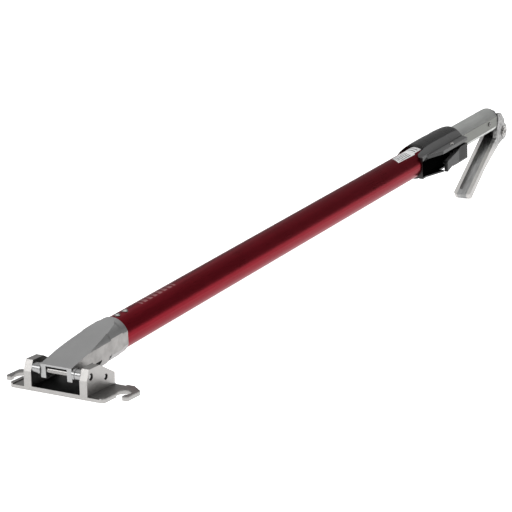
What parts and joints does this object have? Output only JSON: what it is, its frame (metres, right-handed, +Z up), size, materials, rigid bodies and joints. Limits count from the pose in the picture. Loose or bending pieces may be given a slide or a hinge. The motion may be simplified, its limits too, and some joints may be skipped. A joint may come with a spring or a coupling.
{
  "type": "extendable box handle with brake lever",
  "caption": "Long red tube handle with a hinged keyhole mounting bracket at one end and, past a side lock, a sliding inner tube with a squeeze brake lever at the other.",
  "frame": {"origin": "midway between the two keyhole centres, on the underside of the bracket's plate, which rests on the ground", "axes": "+Y from the bracket along the ground to the lever's end, +Z up out of the plate, +X across, to the lock trigger's side"},
  "size_m": [0.141, 1.0214, 0.1064],
  "materials": {
    "bracket": "machined and lightly brushed",
    "pin_steel": "ground steel",
    "collar_chrome": "bright turned",
    "zinc_steel": "zinc plated",
    "head_cast": "bead blasted on top, brushed on the sides",
    "anodised_red": "red anodised, semi gloss",
    "screw_steel": "polished screw heads",
    "label_face": "blank printed label",
    "black_plastic": "moulded, semi gloss",
    "bush_plastic": "moulded acetal",
    "spring_steel": "drawn wire",
    "rod_steel": "drawn bar and tube",
    "friction_lining": "woven friction lining",
    "trigger_plastic": "moulded",
    "inner_aluminium": "satin, clear anodised",
    "end_rubber": "matte",
    "lever_cast": "cast, satin, with bright edges"
  },
  "bodies": {
    "handle": {"fork_head": "head_cast", "outer_tube": "anodised_red", "tube_screws": "screw_steel", "tube_label": "label_face", "brake_body": "zinc_steel", "lock_housing": "black_plastic", "mouth_bush": "bush_plastic", "housing_rivet": "screw_steel", "trigger_pivot": "screw_steel", "trigger_spring": "spring_steel"},
    "bracket": {"mount_bracket": "bracket", "hinge_pin": "pin_steel", "rear_pin": "pin_steel", "hinge_collars": "collar_chrome", "link_spacers": "collar_chrome"},
    "link": {"brake_link": "zinc_steel"},
    "shaft": {"brake_shaft": "pin_steel", "crosshead_pins": "pin_steel"},
    "front_pull": {"brake_wedge": "zinc_steel", "front_rod": "rod_steel"},
    "shoe": {"brake_shoe": "friction_lining"},
    "trigger": {"lock_trigger": "trigger_plastic", "lock_shoe": "friction_lining"},
    "inner": {"inner_tube": "inner_aluminium", "inner_guide": "bush_plastic", "end_plug": "lever_cast", "end_ring": "end_rubber", "end_screws": "screw_steel", "lever_bolt": "screw_steel", "lever_nut": "screw_steel", "return_spring": "spring_steel"},
    "rear_pull": {"rod_tube": "rod_steel", "rod_end": "zinc_steel", "rod_collar": "zinc_steel"},
    "lever": {"brake_lever": "lever_cast", "link_pin": "pin_steel"}
  },
  "joints": [
    {"name": "bracket_hinge", "type": "hinge", "parent": "handle", "child": "bracket", "pos_m": [0, -0.0202, 0.02155], "axis": [-1, 0, 0], "range_deg": [-8, 90]},
    {"name": "link_hinge", "type": "hinge", "parent": "bracket", "child": "link", "pos_m": [0, 0.0043, 0.0148], "axis": [1, 0, 0], "range_deg": [-12, 114]},
    {"name": "shaft_slide", "type": "slide", "parent": "handle", "child": "shaft", "axis": [0, 0.9978, 0.0658], "range_m": [-0.038, 0.004]},
    {"name": "extend_slide", "type": "slide", "parent": "handle", "child": "inner", "axis": [0, 0.9978, 0.0658], "range_m": [0, 0.56]},
    {"name": "lever_hinge", "type": "hinge", "parent": "inner", "child": "lever", "pos_m": [0, 0.9835, 0.072], "axis": [-1, 0, 0], "range_deg": [0, 22], "stiffness_Nm_per_rad": 1.2, "springref_deg": -45.84, "deforming": ["return_spring"]},
    {"name": "rear_rod_slide", "type": "slide", "parent": "inner", "child": "rear_pull", "axis": [0, 0.9978, 0.0658], "range_m": [0, 0.01]},
    {"name": "front_rod_slide", "type": "slide", "parent": "handle", "child": "front_pull", "axis": [0, 0.9978, 0.0658], "range_m": [0, 0.01]},
    {"name": "shoe_slide", "type": "slide", "parent": "handle", "child": "shoe", "axis": [0, 0.0658, -0.9978], "range_m": [0, 0.0006]},
    {"name": "trigger_hinge", "type": "hinge", "parent": "handle", "child": "trigger", "pos_m": [0.024, 0.79622, 0.08045], "axis": [0, 0.0658, -0.9978], "range_deg": [0, 9.5], "stiffness_Nm_per_rad": 1, "springref_deg": -6.88, "deforming": ["trigger_spring"]}
  ],
  "couplings": [
    {"joint": "link_hinge", "follows": "bracket_hinge", "ratio": 1.24},
    {"joint": "shaft_slide", "follows": "bracket_hinge", "m_per_rad": -0.0235},
    {"joint": "rear_rod_slide", "follows": "lever_hinge", "m_per_rad": 0.0252},
    {"joint": "front_rod_slide", "follows": "lever_hinge", "m_per_rad": 0.0252},
    {"joint": "shoe_slide", "follows": "lever_hinge", "m_per_rad": 0.00151}
  ]
}
